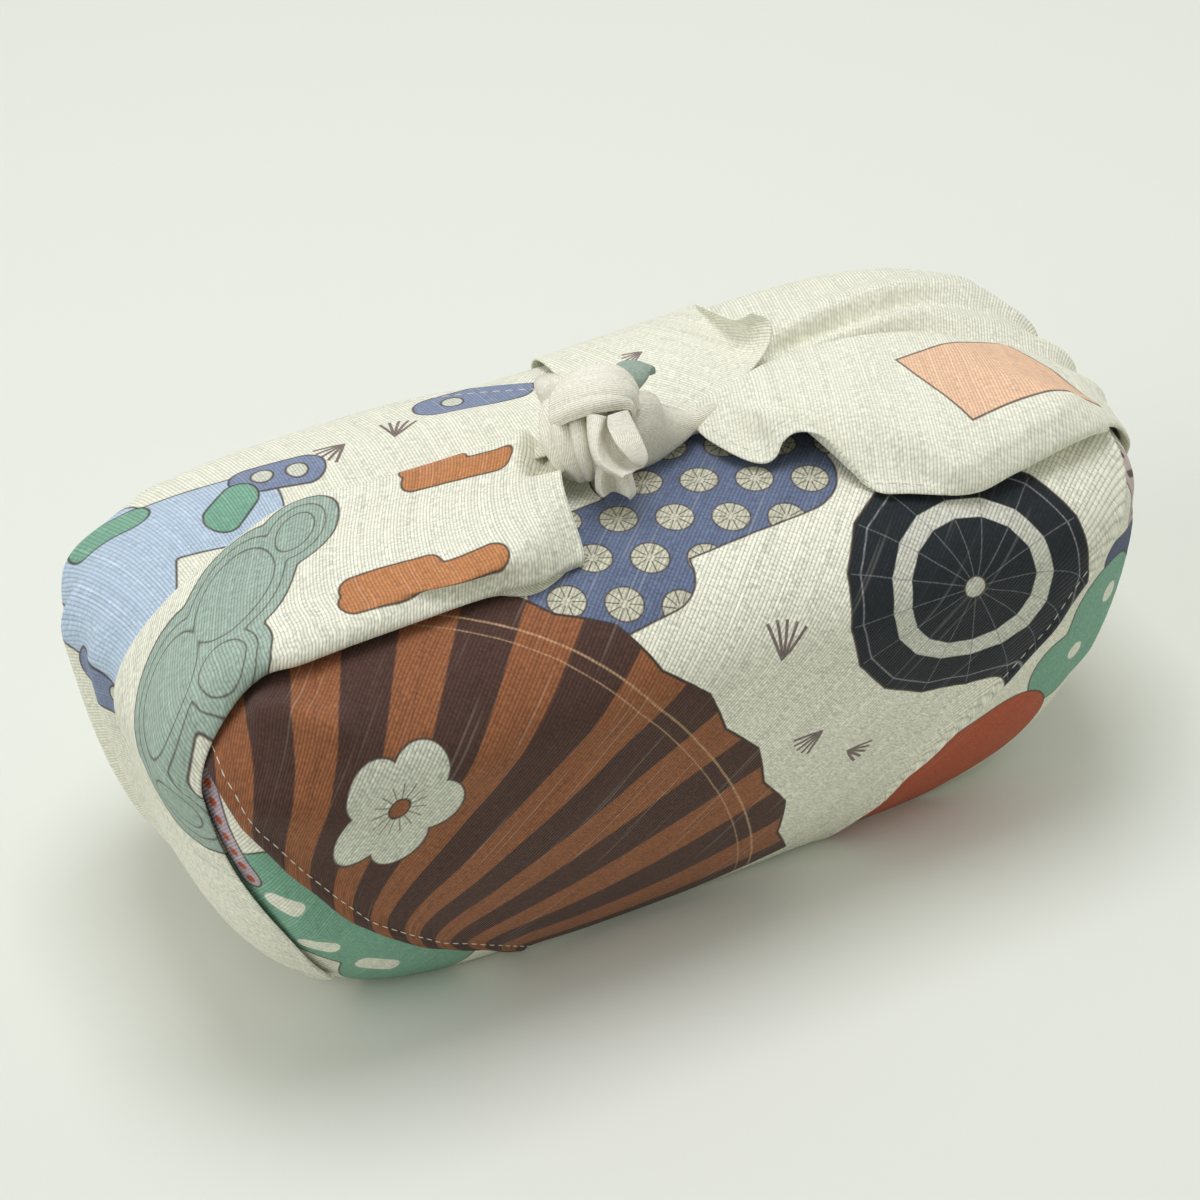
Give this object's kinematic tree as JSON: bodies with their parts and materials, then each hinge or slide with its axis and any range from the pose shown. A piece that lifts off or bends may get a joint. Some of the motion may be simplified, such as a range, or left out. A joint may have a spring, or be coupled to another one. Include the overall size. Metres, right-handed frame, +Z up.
{
  "type": "furoshiki wrap",
  "caption": "Square cotton wrapping cloth folded round a loaf-shaped bundle, front flap down, its two end corners tied in a small square knot on top.",
  "frame": {"origin": "middle of the flat base that the bundle rests on", "axes": "+X along the bundle's long side, towards the end at the right of the front; +Y to the back, away from the front flap; +Z up"},
  "size_m": [0.2912, 0.1376, 0.1453],
  "materials": {
    "cloth": "matte printed slub cotton"
  },
  "bodies": {
    "root": {"wrap": "cloth"}
  },
  "joints": []
}
